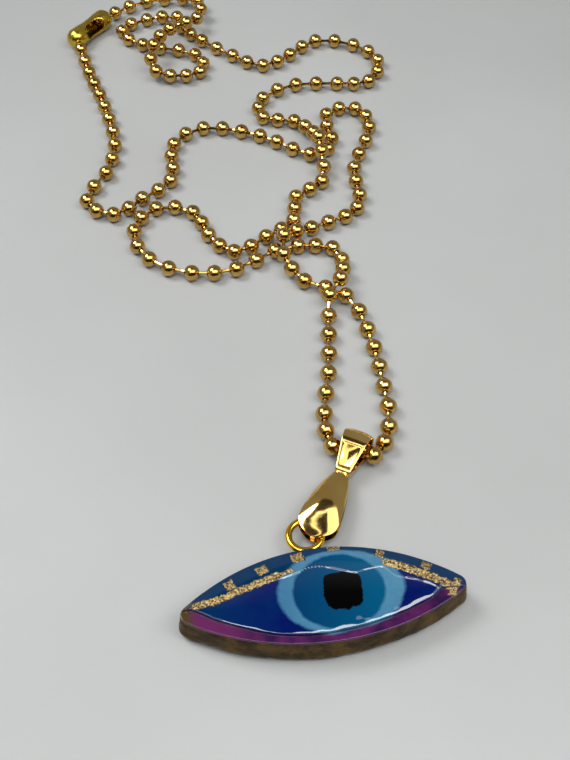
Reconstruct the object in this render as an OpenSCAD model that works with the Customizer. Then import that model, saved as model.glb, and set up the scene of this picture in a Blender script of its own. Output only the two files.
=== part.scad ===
// Evil eye pendant on a ball chain, lying on a table.
// Millimetres, +Z up. The origin is the middle of the pendant's flat back, on the table. The pendant's
// long axis runs along X, and the chain lies away from it towards +Y.

/* [Pendant] */
// Length of the almond slab, tip to tip
pendant_l = 32.4; // [26:0.1:42]
// Width of the almond slab across its middle
pendant_w = 11.6; // [9:0.1:15]
// Radius of each blunt tip
tip_r = 1.1; // [0.8:0.1:2]
// Thickness of the slab, from the table to the rim of its face
slab_t = 4; // [3.4:0.1:6]
// How far the hand-cut edge bulges past the rim of the face
edge_bulge = 0.45; // [0.1:0.05:0.7]
// How far the slab's back is rounded under
back_round = 0.35; // [0.1:0.05:0.5]

/* [Resin] */
// Rise of the clear resin over the slab's rim, at the middle of the eyeball
resin_h = 1.3; // [0.8:0.1:2]
// Rise of the resin over the two eyelids
lid_h = 0.4; // [0.2:0.05:0.6]
// Width of the eyelid band inside the rim
lid_w = 1.5; // [1:0.1:2.4]

/* [Wire eye] */
// Outer diameter of the round wire eye
eye_d = 4.8; // [4:0.1:6]
// Diameter of its wire
eye_wire_d = 0.85; // [0.6:0.05:1.1]
// Where the eye stands along the slab's top edge
eye_x = -0.95; // [-4:0.05:4]
// Gap between the eye and the rim of the slab
eye_gap = 0.55; // [0.5:0.05:1]
// Diameter of the eye's straight shank
shank_d = 0.7; // [0.5:0.05:0.9]
// How deep the shank goes into the slab
shank_depth = 3; // [2:0.1:4]

/* [Pinch bail] */
// Lean of the bail to the right of straight up the pendant, in degrees
bail_lean = 30.5; // [10:0.5:40]
// Length of each teardrop leaf
leaf_l = 9.6; // [8:0.1:12]
// Width of each leaf where it is widest
leaf_w = 4.9; // [4.4:0.1:6]
// Height of a leaf's dome over its own rim
leaf_dome = 0.95; // [0.8:0.05:1.2]
// Thickness of the leaf's sheet
leaf_wall = 0.35; // [0.25:0.05:0.45]
// Distance from the pegs to the round end of the leaf
toe = 0.7; // [0.6:0.05:1]
// Diameter of the two pegs
peg_d = 0.75; // [0.5:0.05:0.9]
// Length of the neck that joins the two leaves
neck_l = 1.4; // [1.2:0.1:1.6]

/* [Bail loop] */
// Length from the middle of the narrow end to the middle of the wide, round nose
loop_span = 3.6; // [3.2:0.1:5]
// Width of the band at its narrow end
loop_w0 = 1.7; // [1.4:0.1:2]
// Width of the band at the nose's far side
loop_w1 = 4; // [3.4:0.1:4.4]
// Thickness of the band
band_t = 0.5; // [0.4:0.05:0.6]
// Room round a ball inside the loop
loop_play = 0.25; // [0.2:0.05:0.4]
// Depth of the sunk panel on its front
panel_depth = 0.14; // [0.05:0.01:0.2]
// How far the middle of the nose stands out past its sides
nose_bow = 0.45; // [0.2:0.05:0.7]

/* [Ball chain] */
// Diameter of a ball
ball_d = 2.4; // [2.1:0.05:2.45]
// Thickness of a ball's sheet
ball_wall = 0.22; // [0.15:0.01:0.3]
// Diameter of the wire that links the balls
link_d = 0.5; // [0.3:0.05:0.6]

/* [Clasp] */
// Outer diameter of the clasp
clasp_d = 3.5; // [3.35:0.05:3.7]
// Thickness of its sheet
clasp_wall = 0.35; // [0.25:0.05:0.4]
// Length of the open window in its side
window_l = 4.4; // [3:0.1:5]
// Width of that window
window_w = 2.6; // [2:0.1:3]
// Turn of the window from straight up, towards the pendant, in degrees
window_turn = 50; // [20:1:80]

/* [Fit] */
// Clear gap round a wire or a peg in its hole
clear = 0.15; // [0.12:0.01:0.18]
// Gap between the table and the metal pieces that hang over it
table_gap = 0.05; // [0.02:0.01:0.1]

/* [Hidden] */
$fn = 48;
colour_edge = "#7a6338";
colour_eye = "#1d6fb0";
colour_gold = "#d4a545";
colour_brass = "#a88f35";

// The outline's long arcs and tip arcs touch where they meet.
half_l = pendant_l / 2;
half_w = pendant_w / 2;
tip_x = half_l - tip_r;
side_r = (tip_x * tip_x + half_w * half_w - tip_r * tip_r) / (2 * (half_w - tip_r));
side_y = side_r - half_w;
tip_half = atan2(side_y, tip_x);
side_steps = 30;
tip_steps = 6;
// How far a hole's cutter runs on past the face that it opens in
past = 1;

// Heights of the pieces over the table
ball_r = ball_d / 2;
loop_inner_r = ball_r + loop_play;
loop_outer_r = loop_inner_r + band_t;
bail_z = loop_outer_r + table_gap;

// The wire eye, and the peg that rests against the right of its hole
eye_ring_r = (eye_d - eye_wire_d) / 2;
eye_edge_y = sqrt(side_r * side_r - eye_x * eye_x) - side_y;
eye_at = [eye_x, eye_edge_y + eye_gap + eye_d / 2, bail_z];
peg_reach = eye_d / 2 - eye_wire_d - peg_d / 2 - clear;
peg_bearing = 6;
peg_at = eye_at + peg_reach * [cos(peg_bearing), sin(peg_bearing), 0];

// Places along the bail, measured from the pegs
leaf_play = 0.18;
leaf_gap = eye_wire_d / 2 + leaf_play;
leaf_tip_gap = 0.05;
leaf_end = leaf_l - toe;
joint_r = 0.7;
joint_gap = 0.2;
joint_u = leaf_end + joint_gap + joint_r;
nose_u = joint_u + loop_span;
belt_slope = asin((loop_outer_r - joint_r) / loop_span);
seat_back = 0.4;
seat_at = peg_at + (nose_u - seat_back) * [sin(bail_lean), cos(bail_lean), 0];
seat_lift = bail_z - ball_r;

// The chain's route, from the end ball in the clasp's near cup round to the one in its far cup.
// Each row is a ball: its place in X and Y, its lift off the table, and the links to the next row's.
route = [
    [-28, 112, 0.6, 3],
    [-26, 102.5, 0, 3],
    [-23.5, 93, 0, 3],
    [-22, 83, 0, 2],
    [-23.5, 76.5, 0, 2],
    [-26.5, 70.5, 0, 2],
    [-22.5, 67, 0, 2],
    [-18, 70, 0, 2],
    [-13.5, 73.5, 0, 3],
    [-12.5, 82, 0, 2],
    [-7.5, 85.5, 0, 3],
    [1.5, 82.5, 0, 3],
    [9, 77, 0, 1],
    [12, 78, 0, 1],
    [13, 80.5, 0, 2],
    [13, 86.5, 0, 2],
    [18, 87.5, 0, 2],
    [19.5, 82.5, 0, 3],
    [15.5, 73, 0, 3],
    [14.5, 64, 0, 3],
    [7, 60.5, 0, 2],
    [2.5, 58, 1.5, 1],
    [2, 54.5, 1.2, 2],
    [4.5, 50, 0, 2],
    [10, 46.5, 0, 2],
    [12, 40, 0, 3],
    [12.5, 30, 0, 2],
    [12, 23.5, 0, 2],
    [9.2, 19, 0.65, 1],
    [6.7, 20, seat_lift, 1],
    [4.2, 21, 0.65, 2],
    [4, 26.5, 0, 2],
    [5.5, 33, 0, 3],
    [7, 43, 0, 1],
    [7.5, 46, 1, 1],
    [9.5, 48.5, 1.5, 2],
    [10.5, 53.5, 0, 1],
    [9.5, 56, 0, 2],
    [4.5, 57, 0, 1],
    [1, 56.5, 0, 2],
    [-5, 53.5, 0, 2],
    [-11.5, 53.5, 0, 2],
    [-17.5, 57, 0, 2],
    [-19.5, 63, 0, 2],
    [-16, 67.5, 0, 2],
    [-10.5, 66, 0, 2],
    [-8.5, 61, 0, 2],
    [-5, 57, 0, 2],
    [0, 59.5, 0, 2],
    [4.5, 62.5, 0, 2],
    [5.5, 67.5, 0, 2],
    [10, 70.5, 0, 3],
    [10.5, 78.5, 2.2, 1],
    [10, 81, 1.1, 2],
    [7.5, 85.5, 0, 2],
    [2.5, 87, 0, 2],
    [3, 92, 0, 2],
    [9, 95, 0, 2],
    [16, 94.5, 0, 2],
    [21.5, 94.5, 0, 2],
    [24, 100, 0, 2],
    [20.5, 105, 0, 2],
    [14, 107, 0, 2],
    [9, 103.5, 0, 2],
    [4, 101, 0, 2],
    [-1, 104.5, 0, 2],
    [-6, 109.5, 0, 2],
    [-9.5, 114, 0, 1],
    [-10, 116.5, 0.4, 2],
    [-15.5, 117, 0, 2],
    [-20, 114, 0, 2],
    [-16.5, 109.5, 0, 3],
    [-7.5, 105.5, 0, 2],
    [-7, 100.5, 0, 3],
    [-14.5, 100.5, 0.8, 2],
    [-14.5, 105.5, 2.5, 2],
    [-11.5, 110, 2.4, 1],
    [-8.5, 111.5, 2.5, 1],
    [-6.5, 114, 1.6, 2],
    [-6, 120.5, 0.8, 2],
    [-12, 123, 0, 2],
    [-18.5, 121.5, 0, 2],
    [-23.5, 117, 0.6, 1]
];
// Row of the ball inside the bail's loop: the whole route is laid out from that ball
bail_row = 29;
route_shift = [seat_at[0] - route[bail_row][0], seat_at[1] - route[bail_row][1]];
knots = [for (row = route) [row[0] + route_shift[0], row[1] + route_shift[1], ball_r + row[2]]];
last_knot = len(knots) - 1;
chain = [
    for (i = [0:last_knot - 1], k = [0:route[i][3] - 1]) on_table(between(i, k / route[i][3])),
    knots[last_knot]
];
last_ball = len(chain) - 1;
wire_sides = 6;

// Direction of a vector
function unit(v) = v / norm(v);

// Direction of the route at one of its rows
function heading(i) = unit(knots[min(i + 1, last_knot)] - knots[max(i - 1, 0)]);

// Point at a share t of the way from one row of the route to the next, on a smooth curve
function between(i, t) =
    let (a = knots[i], b = knots[i + 1], reach = norm(b - a))
    let (out = heading(i) * reach, into = heading(i + 1) * reach)
    (2 * pow(t, 3) - 3 * pow(t, 2) + 1) * a + (pow(t, 3) - 2 * pow(t, 2) + t) * out
    + (3 * pow(t, 2) - 2 * pow(t, 3)) * b + (pow(t, 3) - pow(t, 2)) * into;

// The same point, no lower than a ball on the table
function on_table(p) = [p[0], p[1], max(p[2], ball_r)];

// Arc of points round a middle
function arc(middle, r, from, to, steps) = [
    for (i = [0:steps])
        let (a = from + (to - from) * i / steps)
        middle + r * [cos(a), sin(a)]
];

// The almond outline, grown outwards by d
function outline(d) = concat(
    arc([tip_x, 0], tip_r + d, -tip_half, tip_half, tip_steps),
    arc([0, -side_y], side_r + d, tip_half, 180 - tip_half, side_steps),
    arc([-tip_x, 0], tip_r + d, 180 - tip_half, 180 + tip_half, tip_steps),
    arc([0, side_y], side_r + d, 180 + tip_half, 360 - tip_half, side_steps)
);

function at_height(points, z) = [for (p = points) [p[0], p[1], z]];

// Quad of a hollow ring's end, between the ring's outer half and the inner half that runs back
function end_quad(j, n, first, last_end) =
    let (quad = [first + j, first + j + 1, first + n - 2 - j, first + n - 1 - j])
    last_end ? reversed(quad) : quad;

// Solid through rings of points, each with as many points as the first. The first and last rings are
// closed flat, or joined to each other where the rings go right round. In a hollow loft each ring goes
// out along the outer face and back along the inner one.
module loft(rings, ring_closed = false, hollow = false) {
    n = len(rings[0]);
    count = len(rings);
    spans = ring_closed ? count : count - 1;
    points = [for (ring = rings) each ring];
    sides = [
        for (i = [0:spans - 1], j = [0:n - 1])
            let (a = i * n + j, b = i * n + (j + 1) % n)
            let (up = ((i + 1) % count) * n)
            each [[a, up + j, b], [b, up + j, up + (j + 1) % n]]
    ];
    last = (count - 1) * n;
    caps = ring_closed ? []
        : hollow ? [for (j = [0:n / 2 - 2], end = [0, 1]) end_quad(j, n, last * end, end == 1)]
        : [[for (j = [0:n - 1]) j], [for (j = [n - 1:-1:0]) last + j]];
    polyhedron(points = points, faces = concat(caps, sides), convexity = 8);
}

// Slab sections as shares of the slab's thickness, of the edge's bulge and of the back's rounding
slab_sections = [
    // height, bulge, rounding
    [0, 0, 1],
    [0.05, 0.1, 0],
    [0.14, 0.8, 0],
    [0.3, 1, 0],
    [0.62, 0.6, 0],
    [0.92, 0.15, 0],
    [1, 0, 0]
];

function slab_ring(s) = at_height(outline(s[1] * edge_bulge - s[2] * back_round), s[0] * slab_t);

module pendant_base() {
    color(colour_edge)
    difference() {
        loft([for (s = slab_sections) slab_ring(s)]);
        translate([eye_at[0], eye_edge_y - shank_depth - clear, bail_z])
        rotate([-90, 0, 0])
        cylinder(d = shank_d + 2 * clear, h = shank_depth + clear + edge_bulge + past);
    }
}

// Resin sections as shares of the eyelid's width in from the rim, of the lids' rise, and of the
// eyeball's rise over the lids
resin_sections = [
    // in, lid, eyeball
    [0.03, 0, 0],
    [0.05, 0.5, 0],
    [0.23, 1, 0],
    [1, 1.1, 0],
    [1.2, 1.1, 0.5],
    [1.6, 1.1, 0.75]
];
crown_steps = 3;
crown_step = 0.3;

function resin_z(s) = s[1] * lid_h + s[2] * (resin_h - lid_h);

function resin_ring(s) = at_height(inset_outline(s[0] * lid_w), slab_t + resin_z(s));

// Ring of the eyeball's crown: the last resin section drawn in to a share t of its size
function crown_ring(t) =
    let (last = resin_sections[len(resin_sections) - 1])
    let (z = resin_z(last) + (resin_h - resin_z(last)) * (1 - pow(t, 2)))
    [for (p = inset_outline(last[0] * lid_w)) [p[0] * t, p[1] * t, slab_t + z]];

// The almond outline drawn in by d, and by more than that at its tips, which stay round
tip_inset = 1.6;
inset_tip_r = 0.8 * tip_r;
function inset_outline(d) =
    let (l = half_l - tip_inset * d, w = half_w - d, r = inset_tip_r)
    let (x = l - r, big = (x * x + w * w - r * r) / (2 * (w - r)), y = big - w, a = atan2(y, x))
    concat(
        arc([x, 0], r, -a, a, tip_steps),
        arc([0, -y], big, a, 180 - a, side_steps),
        arc([-x, 0], r, 180 - a, 180 + a, tip_steps),
        arc([0, y], big, 180 + a, 360 - a, side_steps)
    );

module eye_dome() {
    color(colour_eye)
    loft(concat(
        [for (s = resin_sections) resin_ring(s)],
        [for (i = [1:crown_steps]) crown_ring(1 - i * crown_step)]
    ));
}

module screw_eye() {
    color(colour_gold) {
        translate(eye_at)
        rotate_extrude()
        translate([eye_ring_r, 0])
        circle(d = eye_wire_d);
        translate([eye_at[0], eye_edge_y - shank_depth, bail_z])
        rotate([-90, 0, 0])
        cylinder(d = shank_d, h = shank_depth + eye_gap + eye_wire_d / 2);
    }
}

// Puts what is drawn in the bail's own frame in its place: +Y runs up the bail from the pegs
module on_bail() {
    translate(peg_at)
    rotate([0, 0, -bail_lean])
    children();
}

// Leaf sections from its round end to its neck, as shares of the leaf's length, half width and dome,
// and of the way that the rim has come down from the wire eye to the neck
leaf_sections = [
    // along, width, dome, closed
    [0, 0.28, 0.45, 0],
    [0.02, 0.5, 0.6, 0],
    [0.06, 0.76, 0.76, 0],
    [0.12, 0.93, 0.9, 0],
    [0.2, 1, 0.98, 0],
    [0.3, 1, 1, 0.02],
    [0.42, 0.955, 0.98, 0.12],
    [0.54, 0.88, 0.93, 0.28],
    [0.66, 0.78, 0.86, 0.47],
    [0.78, 0.66, 0.78, 0.68],
    [0.88, 0.54, 0.7, 0.86],
    [0.95, 0.45, 0.65, 0.96],
    [1, 0.38, 0.62, 1]
];
dome_steps = 10;

// Arch over a leaf's rim, from left to right, with steep sides and a nearly flat top
function arch(half, rise, along, rim) = [
    for (i = [0:dome_steps])
        let (a = 180 - 180 * i / dome_steps, c = cos(a))
        [half * sign(c) * pow(abs(c), 0.8), along, rim + rise * pow(max(sin(a), 0), 0.7)]
];

function reversed(list) = [for (i = [len(list) - 1:-1:0]) list[i]];

function leaf_ring(s) =
    let (along = s[0] * leaf_l - toe, half = s[1] * leaf_w / 2, rise = s[2] * leaf_dome)
    let (rim = leaf_gap + (leaf_tip_gap - leaf_gap) * s[3])
    concat(
        arch(half, rise, along, rim),
        reversed(arch(half - leaf_wall, rise - leaf_wall, along, rim))
    );

module leaf() {
    loft([for (s = leaf_sections) leaf_ring(s)], hollow = true);
    // Peg, rooted in the dome and stopping short of the other leaf's
    peg_base = leaf_gap + leaf_dome - leaf_wall;
    translate([0, 0, clear / 2])
    cylinder(d = peg_d, h = peg_base - clear / 2);
}

// The neck's faces inside the narrow end's, how far it reaches past that end's near side, and the gap there
neck_side = 0.08;
neck_in = 0.1;
neck_bite = 0.25;
neck_gap = 0.02;

module pinch_bail() {
    neck_w = loop_w0 - 2 * neck_side;
    neck_h = 2 * (joint_r - neck_in);
    color(colour_gold)
    on_bail() {
        leaf();
        mirror([0, 0, 1]) leaf();
        // Neck that joins the leaves and holds the loop's narrow end
        difference() {
            translate([-neck_w / 2, joint_u - joint_r + neck_bite - neck_l, -neck_h / 2])
            cube([neck_w, neck_l, neck_h]);
            translate([0, joint_u, 0])
            rotate([0, 90, 0])
            cylinder(r = joint_r + neck_gap, h = loop_w1, center = true);
        }
    }
}

// Half width of the loop's band at a distance up the bail, from its narrow end to the nose's far side
function band_half(u) =
    let (low = joint_u - joint_r, high = nose_u + loop_outer_r)
    (loop_w0 + (loop_w1 - loop_w0) * (u - low) / (high - low)) / 2;

// Closed belt round the nose and the narrow end, as rows of place up the bail, height, the direction
// that faces outwards, and how deep the panel is sunk there
nose_steps = 12;
joint_steps = 6;
front_shares = [0.08, 0.12, 0.5, 0.88, 0.93];
front_sunk = [0, 1, 1, 1, 0];
function belt_row(middle, r, a, sunk) =
    [middle + (r - band_t) * cos(a), (r - band_t) * sin(a), a, sunk];
joint_top = belt_row(joint_u, joint_r, 90 + belt_slope, 0);
nose_top = belt_row(nose_u, loop_outer_r, 90 + belt_slope, 0);
belt = concat(
    [for (i = [0:len(front_shares) - 1])
        let (p = joint_top + (nose_top - joint_top) * front_shares[i])
        [p[0], p[1], 90 + belt_slope, front_sunk[i]]],
    [for (i = [0:nose_steps])
        let (a = 90 + belt_slope - (180 + 2 * belt_slope) * i / nose_steps)
        belt_row(nose_u, loop_outer_r, a, 0)],
    [for (i = [0:joint_steps])
        let (a = -90 - belt_slope - (180 - 2 * belt_slope) * i / joint_steps)
        belt_row(joint_u, joint_r, a, 0)]
);
// Band section across its width: share of the half width, share of the thickness, sunk or not
band_section = [
    [-1, 0, 0], [-1, 1, 0], [-0.8, 1, 0], [-0.7, 1, 1], [0, 1, 1],
    [0.7, 1, 1], [0.8, 1, 0], [1, 1, 0], [1, 0, 0], [0, 0, 0]
];

function belt_ring(row) = [
    for (s = band_section)
        let (out = band_t * s[1] - panel_depth * s[2] * row[3])
        let (bow = nose_bow * (1 - s[0] * s[0]) * max(0, row[0] - nose_u) / loop_inner_r)
        [
            s[0] * band_half(row[0]),
            row[0] + out * cos(row[2]) + bow,
            row[1] + out * sin(row[2])
        ]
];

module bail_loop() {
    color(colour_gold)
    on_bail()
    loft([for (row = belt) belt_ring(row)], ring_closed = true);
}

// Round hole for a link's wire, from a distance in to a distance out along the line between two balls
module link_hole(from, to, near, far) {
    v = to - from;
    translate(from)
    rotate([0, acos(v[2] / norm(v)), atan2(v[1], v[0])])
    translate([0, 0, near])
    cylinder(d = link_d + 2 * clear, h = far - near, $fn = 24);
}

// Hollow ball with a hole towards each of its neighbours, its seam turned to the side of the chain
module chain_ball(i) {
    run = chain[min(i + 1, last_ball)] - chain[max(i - 1, 0)];
    difference() {
        translate(chain[i])
        rotate([0, 0, atan2(run[1], run[0]) + 90])
        difference() {
            sphere(d = ball_d);
            sphere(d = ball_d - 2 * ball_wall);
        }
        if (i > 0) link_hole(chain[i], chain[i - 1], ball_r / 2, ball_r + past);
        if (i < last_ball) link_hole(chain[i], chain[i + 1], ball_r / 2, ball_r + past);
    }
}

module chain_balls() {
    color(colour_gold)
    for (i = [0:last_ball]) chain_ball(i);
}

// Ring of the wire at a ball's middle, in the plane that halves the bend there
function wire_ring(i) =
    let (before = unit(chain[max(i, 1)] - chain[max(i, 1) - 1]))
    let (after = unit(chain[min(i, last_ball - 1) + 1] - chain[min(i, last_ball - 1)]))
    let (along = unit(before + after), side = unit(cross([0, 0, 1], along)), up = cross(along, side))
    [for (k = [0:wire_sides - 1])
        let (a = 360 * k / wire_sides)
        chain[i] + link_d / 2 * (side * cos(a) / (along * after) + up * sin(a))];

module chain_wire() {
    color(colour_gold)
    loft([for (i = [0:last_ball]) wire_ring(i)]);
}

module clasp() {
    near = chain[0];
    far = chain[last_ball];
    run = norm(far - near);
    turn = atan2(far[1] - near[1], far[0] - near[0]);
    inner_r = clasp_d / 2 - clasp_wall;
    color(colour_brass)
    difference() {
        translate(near)
        rotate([0, 0, turn])
        difference() {
            union() {
                sphere(d = clasp_d);
                rotate([0, 90, 0]) cylinder(d = clasp_d, h = run);
                translate([run, 0, 0]) sphere(d = clasp_d);
            }
            sphere(r = inner_r);
            rotate([0, 90, 0]) cylinder(r = inner_r, h = run);
            translate([run, 0, 0]) sphere(r = inner_r);
            rotate([window_turn, 0, 0])
            translate([(run - window_l) / 2, -window_w / 2, 0])
            cube([window_l, window_w, clasp_d]);
        }
        link_hole(near, chain[1], ball_r / 2, clasp_d);
        link_hole(far, chain[last_ball - 1], ball_r / 2, clasp_d);
    }
}

pendant_base();
eye_dome();
screw_eye();
pinch_bail();
bail_loop();
chain_balls();
chain_wire();
clasp();
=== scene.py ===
# %% [markdown]
# # An evil eye pendant on a ball chain
#
# The necklace lies on a pale table: an almond-shaped charm with an eye painted under clear resin,
# a wire eye in its edge, a gold teardrop bail, and a long ball chain in loose curves. The measured
# model comes first, as a fixed frame, and each piece that follows is laid over the solid that it
# stands for, so nothing has to be fitted by eye.

# %% The frame
import bpy
import numpy as np
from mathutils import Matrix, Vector


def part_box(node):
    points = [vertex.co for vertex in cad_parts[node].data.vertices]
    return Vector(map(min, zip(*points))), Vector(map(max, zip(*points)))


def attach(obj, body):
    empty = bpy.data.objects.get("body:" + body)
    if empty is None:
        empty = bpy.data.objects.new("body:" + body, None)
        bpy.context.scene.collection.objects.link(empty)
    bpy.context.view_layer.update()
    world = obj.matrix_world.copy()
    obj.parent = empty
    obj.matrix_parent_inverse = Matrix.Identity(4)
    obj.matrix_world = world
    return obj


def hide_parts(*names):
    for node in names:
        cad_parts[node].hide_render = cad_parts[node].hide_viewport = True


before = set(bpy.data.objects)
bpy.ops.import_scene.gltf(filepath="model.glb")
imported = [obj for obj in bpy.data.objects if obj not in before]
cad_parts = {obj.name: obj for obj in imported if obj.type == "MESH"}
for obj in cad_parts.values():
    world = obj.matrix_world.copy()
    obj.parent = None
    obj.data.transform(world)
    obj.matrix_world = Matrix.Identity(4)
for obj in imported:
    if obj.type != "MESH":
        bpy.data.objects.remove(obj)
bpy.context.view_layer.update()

MM = 0.001
BODY = "root"
print("solids:", ", ".join(sorted(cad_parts)))

# %% [markdown]
# ## How a surface becomes a mesh
#
# Every piece here is a grid of points: rings that follow each other along the piece. A ring could
# be drawn by hand in Edit Mode, but a formula gives all of them at once and is easy to change.
# Each formula works on whole arrays, and the mesh is filled in one go at the end.

# %% Quads over a grid, and the volume that tells inside from outside
def unit(v):
    """Each vector divided by its own length."""
    return v / np.linalg.norm(v, axis=-1, keepdims=True)


def round_angles(count):
    """Even angles round a circle."""
    return np.linspace(0, 2 * np.pi, count, endpoint=False)


def set_out(name, data):
    """A new object in the scene."""
    thing = bpy.data.objects.new(name, data)
    bpy.context.scene.collection.objects.link(thing)
    return thing


def grid_quads(rows, cols, round_rows=False):
    """Quads over rows of points that go round: (i, j), (i+1, j), (i+1, j+1), (i, j+1). With
    round_rows the last row is joined to the first as well."""
    i, j = np.meshgrid(np.arange(rows if round_rows else rows - 1), np.arange(cols), indexing="ij")
    up, on = (i + 1) % rows, (j + 1) % cols
    quads = [i * cols + j, up * cols + j, up * cols + on, i * cols + on]
    return np.stack(quads, -1).reshape(-1, 4)


def outwards(points, quads, tris):
    """The same closed skin with its faces looking outwards: the volume inside, which is a sixth of
    the sum of a . (b x c) over its triangles, is then more than 0."""
    corners = np.concatenate([quads[:, [0, 1, 2]], quads[:, [0, 2, 3]], tris])
    a, b, c = points[corners].transpose(1, 0, 2)
    if (a * np.cross(b, c)).sum() / 6 < 0:
        quads, tris = quads[:, ::-1], tris[:, ::-1]
    return points, quads, tris


# %% Ways to close the ends
def poled(rings):
    """Skin over rings of points, closed at either end by a fan of triangles round the middle of
    the end ring."""
    rows, cols = rings.shape[:2]
    points = np.concatenate([rings.reshape(-1, 3), rings[[0, -1]].mean(axis=1)])
    j = np.arange(cols)
    on = (j + 1) % cols
    low = np.stack([np.full(cols, rows * cols), j, on], -1)
    last = (rows - 1) * cols
    high = np.stack([np.full(cols, rows * cols + 1), last + on, last + j], -1)
    return outwards(points, grid_quads(rows, cols), np.concatenate([low, high]))


def poled_each(stacks):
    """One skin over many stacks of rings of the same size, each closed as poled closes one."""
    points, quads, tris = poled(stacks[0])
    ends = stacks.mean(axis=2)[:, [0, -1]]
    every = np.concatenate([stacks.reshape(len(stacks), -1, 3), ends], axis=1)
    first = (np.arange(len(stacks)) * len(points))[:, None, None]
    return outwards(every.reshape(-1, 3), (quads + first).reshape(-1, 4),
                    (tris + first).reshape(-1, 3))


def seamed(rings):
    """Skin over rings that are the same on both sides of a line through their first and middle
    points. Either end is closed by strips from each point of the end ring to its twin across that
    line."""
    rows, cols = rings.shape[:2]
    j = np.arange(1, cols // 2 - 1)
    strips = np.stack([j, j + 1, cols - 1 - j, cols - j], -1)
    tips = np.array([[0, 1, cols - 1], [cols // 2 - 1, cols // 2, cols // 2 + 1]])
    last = (rows - 1) * cols
    quads = np.concatenate([grid_quads(rows, cols), strips, strips[:, ::-1] + last])
    return outwards(rings.reshape(-1, 3), quads, np.concatenate([tips, tips[:, ::-1] + last]))


def looped(rings):
    """Skin over rings that go right round and meet the first ring again."""
    rows, cols = rings.shape[:2]
    quads = grid_quads(rows, cols, round_rows=True)
    return outwards(rings.reshape(-1, 3), quads, np.zeros((0, 3), int))


def joined(skins):
    """Several skins as one, each one's faces counted on from the points before it."""
    before = np.cumsum([0] + [len(s[0]) for s in skins])
    return (np.concatenate([s[0] for s in skins]),
            *(np.concatenate([s[k] + n for s, n in zip(skins, before)]) for k in (1, 2)))


# %% [markdown]
# ## Putting a piece in its place
#
# Blender works in metres and the drawing is in millimetres, so points are scaled as they go in. A
# piece is shaded smooth, its true edges kept sharp by their angle. It rides on the model's one
# body, hides the solids that it stands for, and wears the finish that it is given.

# %% A piece from its skin
def make_piece(name, skin, finish, solids, crease=40.0, measures=None):
    """Fills a mesh with a skin's points, in mm, and its faces. measures are named numbers, one for
    each point, which the finish can read."""
    points, quads, tris = skin
    mesh = bpy.data.meshes.new(name)
    mesh.from_pydata((points * MM).tolist(), [], quads.tolist() + tris.tolist())
    for label, values in (measures or {}).items():
        mesh.attributes.new(label, "FLOAT", "POINT").data.foreach_set("value", values.ravel())
    mesh.materials.append(finish)
    mesh.update()
    mesh.shade_smooth()
    mesh.set_sharp_from_angle(angle=np.radians(crease))
    piece = set_out(name, mesh)
    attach(piece, BODY)
    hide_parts(*solids)
    print(f"{name}: {len(points)} points, {2 * len(quads) + len(tris)} triangles")
    return piece


# %% [markdown]
# ## Grain, and smooth lines through chosen points
#
# Hand work is never quite even. Blender's noise texture could push a surface about, but our own
# noise is computed on the same arrays as the shape. Smooth lines run through a few measured
# points, as a flexible ruler does.

# %% Noise and a smooth line
def grain(points, size, seed):
    """Smooth noise between -1 and 1: a random number at each corner of cubes of the given size,
    blended inside a cube by smooth steps."""
    table = np.random.default_rng(seed).uniform(-1, 1, (32, 32, 32))
    low = np.floor(points / size).astype(int)
    t = smooth_step(points / size - low)
    total = np.zeros(points.shape[:-1])
    for corner in np.ndindex(2, 2, 2):
        at = (low + corner) % 32
        weight = np.prod(np.where(np.array(corner) == 1, t, 1 - t), axis=-1)
        total += weight * table[at[..., 0], at[..., 1], at[..., 2]]
    return total


def cubic(t, reach, p, q, leaving, arriving):
    """The cubic from p at t = 0 to q at t = 1, reach apart, with the given slopes at its ends."""
    return ((2 * t**3 - 3 * t**2 + 1) * p + (t**3 - 2 * t**2 + t) * reach * leaving
            + (3 * t**2 - 2 * t**3) * q + (t**3 - t**2) * reach * arriving)


def smooth_through(xs, ys, x):
    """Value at x of a smooth line through the points (xs, ys): a cubic between each two of them,
    whose slope at a point is that of the line through the point's neighbours."""
    xs, ys = np.asarray(xs, float), np.asarray(ys, float)
    slope = np.gradient(ys, xs)
    k = np.clip(np.searchsorted(xs, x, side="right") - 1, 0, len(xs) - 2)
    h = xs[k + 1] - xs[k]
    t = np.clip((x - xs[k]) / h, 0, 1)
    return cubic(t, h, ys[k], ys[k + 1], slope[k], slope[k + 1])


def evenly(path, count):
    """count points at even distances along a closed path, from the path's own first point."""
    path = np.vstack([path, path[:1]])
    run = np.concatenate([[0], np.cumsum(np.linalg.norm(np.diff(path, axis=0), axis=1))])
    at = np.arange(count) / count * run[-1]
    return np.stack([np.interp(at, run, path[:, k]) for k in range(path.shape[1])], -1)


def smooth_step(t):
    """Rises from 0 to 1 as t does, level at both ends: 3t^2 - 2t^3."""
    t = np.clip(t, 0, 1)
    return t * t * (3 - 2 * t)


def quarter_round(t):
    """Rises from 0 to 1 as a quarter of a circle does: sqrt(1 - (1 - t)^2)."""
    return np.sqrt(1 - (1 - np.clip(t, 0, 1)) ** 2)


# %% [markdown]
# ## Building a finish from nodes
#
# A finish is a small tree of shader nodes. It could be wired in the editor, but a helper that adds
# a node and plugs in its sockets keeps each finish short enough to read.

# %% Node helpers
def new_finish(name):
    """A material with an empty tree."""
    finish = bpy.data.materials.new(name)
    finish.use_nodes = True
    finish.node_tree.nodes.clear()
    return finish, finish.node_tree


def node(tree, kind, inputs, **settings):
    """Adds a shader node. A socket that is given another node's output is linked, and any other
    value is set on it."""
    made = tree.nodes.new("ShaderNode" + kind)
    for key, value in settings.items():
        setattr(made, key, value)
    for key, value in inputs.items():
        if isinstance(value, bpy.types.NodeSocket):
            tree.links.new(value, made.inputs[key])
        else:
            made.inputs[key].default_value = value
    return made


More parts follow.
